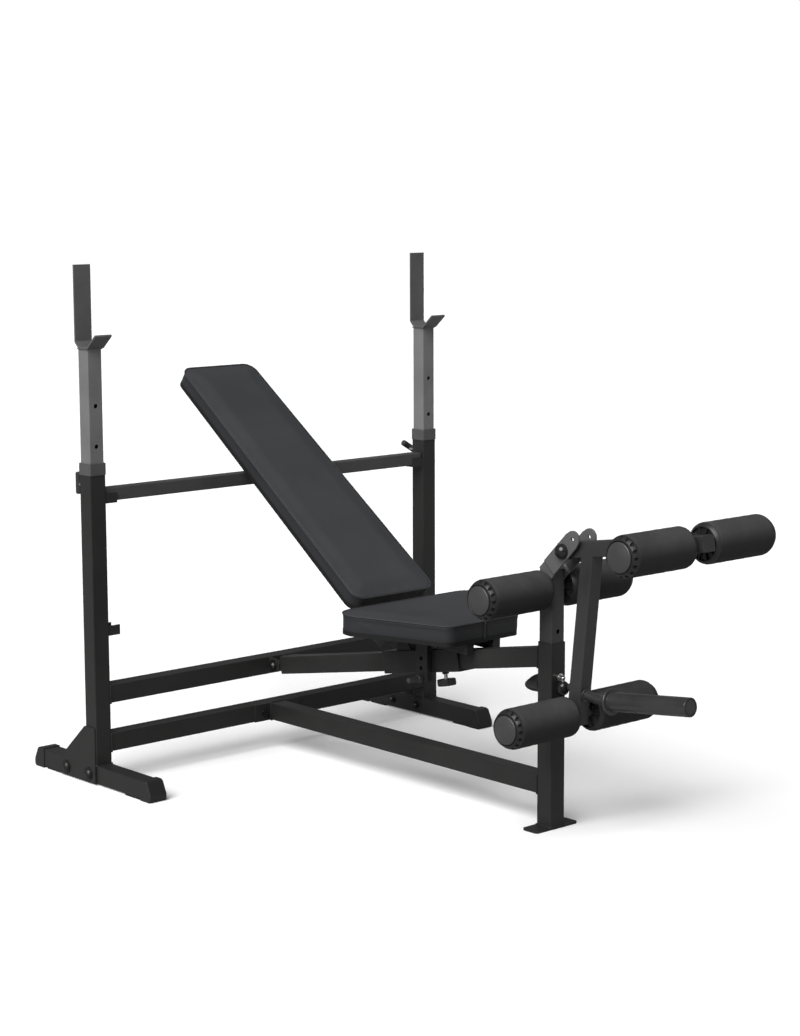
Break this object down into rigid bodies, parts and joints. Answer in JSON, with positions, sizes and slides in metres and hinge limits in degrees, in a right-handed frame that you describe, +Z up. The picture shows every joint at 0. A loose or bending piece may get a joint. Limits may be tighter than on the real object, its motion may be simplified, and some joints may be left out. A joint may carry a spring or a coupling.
{
  "type": "olympic bench press",
  "caption": "Wide-upright barbell bench with telescoping bar racks, incline backrest, tilting seat and a leg developer with foam rollers and a weight sleeve.",
  "frame": {"origin": "on the floor, midway between the two uprights", "axes": "+Z up; -Y towards the leg developer; X across the bench, between the uprights"},
  "size_m": [1.287, 1.9338, 1.414],
  "materials": {
    "black_paint": "satin powder coat",
    "grey_paint": "satin powder coat",
    "vinyl": "fine grained upholstery vinyl",
    "board": "plywood wrapped in the upholstery vinyl",
    "foam": "matt closed-cell foam",
    "plastic": "moulded, lightly textured",
    "grey_plastic": "moulded, lightly textured",
    "rubber": "matt",
    "chrome": "polished",
    "zinc": "zinc plated"
  },
  "bodies": {
    "frame": {"left_upright": "black_paint", "right_upright": "black_paint", "upright_collars": "grey_plastic", "left_foot": "black_paint", "right_foot": "black_paint", "foot_end_caps": "plastic", "floor_pads": "plastic", "foot_gussets": "black_paint", "foot_bolts": "zinc", "upper_crossbar": "black_paint", "lower_crossbar": "black_paint", "bar_saddles": "black_paint", "main_beam": "black_paint", "beam_bolts": "zinc", "front_post": "black_paint", "front_foot_plate": "black_paint", "seat_beam": "black_paint", "seat_beam_bracket": "black_paint"},
    "support_bar": {"support_bar": "grey_paint"},
    "left_rack": {"left_rack_post": "grey_paint", "left_bar_hook": "grey_paint"},
    "right_rack": {"right_rack_post": "grey_paint", "right_bar_hook": "grey_paint"},
    "left_lock": {"left_lock_pin": "chrome", "left_lock_grip": "rubber"},
    "right_lock": {"right_lock_pin": "chrome", "right_lock_grip": "rubber"},
    "carriage": {"seat_carriage": "black_paint", "hinge_bolt": "zinc"},
    "clamp": {"clamp_stud": "chrome", "clamp_knob": "plastic"},
    "seat": {"seat_frame": "black_paint", "seat_hanger": "black_paint", "seat_board": "board", "seat_cushion": "vinyl"},
    "seat_lock": {"seat_lock_pin": "chrome", "seat_lock_grip": "grey_plastic"},
    "backrest": {"backrest_frame": "black_paint", "backrest_board": "board", "backrest_cushion": "vinyl"},
    "leg_post": {"leg_post": "black_paint", "pivot_brackets": "grey_paint", "pivot_bolt": "plastic", "thigh_roller_tube": "grey_paint", "thigh_roller_hubs": "plastic"},
    "post_lock": {"post_lock_pin": "chrome", "post_lock_knob": "plastic"},
    "tension": {"tension_knob": "plastic"},
    "lever": {"leg_lever": "black_paint", "lever_roller_tubes": "grey_paint", "lever_roller_hubs": "plastic", "weight_rod": "black_paint", "weight_sleeve": "black_paint", "lever_bumper": "rubber"},
    "left_thigh_roll": {"left_thigh_foam": "foam"},
    "left_arm_roll": {"left_arm_foam": "foam"},
    "left_shin_roll": {"left_shin_foam": "foam"},
    "right_thigh_roll": {"right_thigh_foam": "foam"},
    "right_arm_roll": {"right_arm_foam": "foam"},
    "right_shin_roll": {"right_shin_foam": "foam"}
  },
  "joints": [
    {"name": "left_rack_height", "type": "slide", "parent": "frame", "child": "left_rack", "axis": [0, 0, 1], "range_m": [-0.2178, 0]},
    {"name": "right_rack_height", "type": "slide", "parent": "frame", "child": "right_rack", "axis": [0, 0, 1], "range_m": [-0.2178, 0]},
    {"name": "left_lock_pull", "type": "slide", "parent": "frame", "child": "left_lock", "axis": [0, 1, 0], "range_m": [0, 0.033]},
    {"name": "right_lock_pull", "type": "slide", "parent": "frame", "child": "right_lock", "axis": [0, 1, 0], "range_m": [0, 0.033]},
    {"name": "carriage_slide", "type": "slide", "parent": "frame", "child": "carriage", "axis": [0, -0.9842, 0.1771], "range_m": [0, 0.08]},
    {"name": "clamp_turn", "type": "hinge", "parent": "carriage", "child": "clamp", "pos_m": [0, -0.739, 0.37355], "axis": [0, -0.1771, -0.9842], "range_deg": [0, 270]},
    {"name": "seat_tilt", "type": "hinge", "parent": "carriage", "child": "seat", "pos_m": [0, -0.6, 0.42], "axis": [-1, 0, 0], "range_deg": [0, 12]},
    {"name": "seat_lock_pull", "type": "slide", "parent": "seat", "child": "seat_lock", "axis": [-1, 0, 0], "range_m": [0, 0.0485]},
    {"name": "backrest_tilt", "type": "hinge", "parent": "carriage", "child": "backrest", "pos_m": [0, -0.6, 0.42], "axis": [1, 0, 0], "range_deg": [0, 40]},
    {"name": "support_bar_lift", "type": "slide", "parent": "frame", "child": "support_bar", "axis": [0, 0, 1], "range_m": [0, 0.0605]},
    {"name": "leg_post_height", "type": "slide", "parent": "frame", "child": "leg_post", "axis": [0, 0, 1], "range_m": [-0.1165, 0]},
    {"name": "post_lock_pull", "type": "slide", "parent": "frame", "child": "post_lock", "axis": [0, -1, 0], "range_m": [0, 0.0196]},
    {"name": "tension_turn", "type": "hinge", "parent": "frame", "child": "tension", "pos_m": [0, -1.1127, 0.369], "axis": [0, 1, 0], "range_deg": [0, 270]},
    {"name": "lever_swing", "type": "hinge", "parent": "leg_post", "child": "lever", "pos_m": [0, -1.205, 0.7245], "axis": [-1, 0, 0], "range_deg": [0, 95]},
    {"name": "left_thigh_roller_spin", "type": "hinge", "parent": "leg_post", "child": "left_thigh_roll", "pos_m": [0, -1.1377, 0.619], "axis": [1, 0, 0], "continuous": true},
    {"name": "left_arm_roller_spin", "type": "hinge", "parent": "lever", "child": "left_arm_roll", "pos_m": [0, -1.6, 0.7826], "axis": [1, 0, 0], "continuous": true},
    {"name": "left_shin_roller_spin", "type": "hinge", "parent": "lever", "child": "left_shin_roll", "pos_m": [0, -1.232, 0.3115], "axis": [1, 0, 0], "continuous": true},
    {"name": "right_thigh_roller_spin", "type": "hinge", "parent": "leg_post", "child": "right_thigh_roll", "pos_m": [0, -1.1377, 0.619], "axis": [1, 0, 0], "continuous": true},
    {"name": "right_arm_roller_spin", "type": "hinge", "parent": "lever", "child": "right_arm_roll", "pos_m": [0, -1.6, 0.7826], "axis": [1, 0, 0], "continuous": true},
    {"name": "right_shin_roller_spin", "type": "hinge", "parent": "lever", "child": "right_shin_roll", "pos_m": [0, -1.232, 0.3115], "axis": [1, 0, 0], "continuous": true}
  ],
  "couplings": [
    {"joint": "left_lock_pull", "follows": "left_rack_height", "ratio": -0.15},
    {"joint": "right_lock_pull", "follows": "right_rack_height", "ratio": -0.15},
    {"joint": "seat_lock_pull", "follows": "seat_tilt", "m_per_rad": 0.2292},
    {"joint": "support_bar_lift", "follows": "backrest_tilt", "m_per_rad": 0.0859},
    {"joint": "post_lock_pull", "follows": "leg_post_height", "ratio": -0.168}
  ]
}
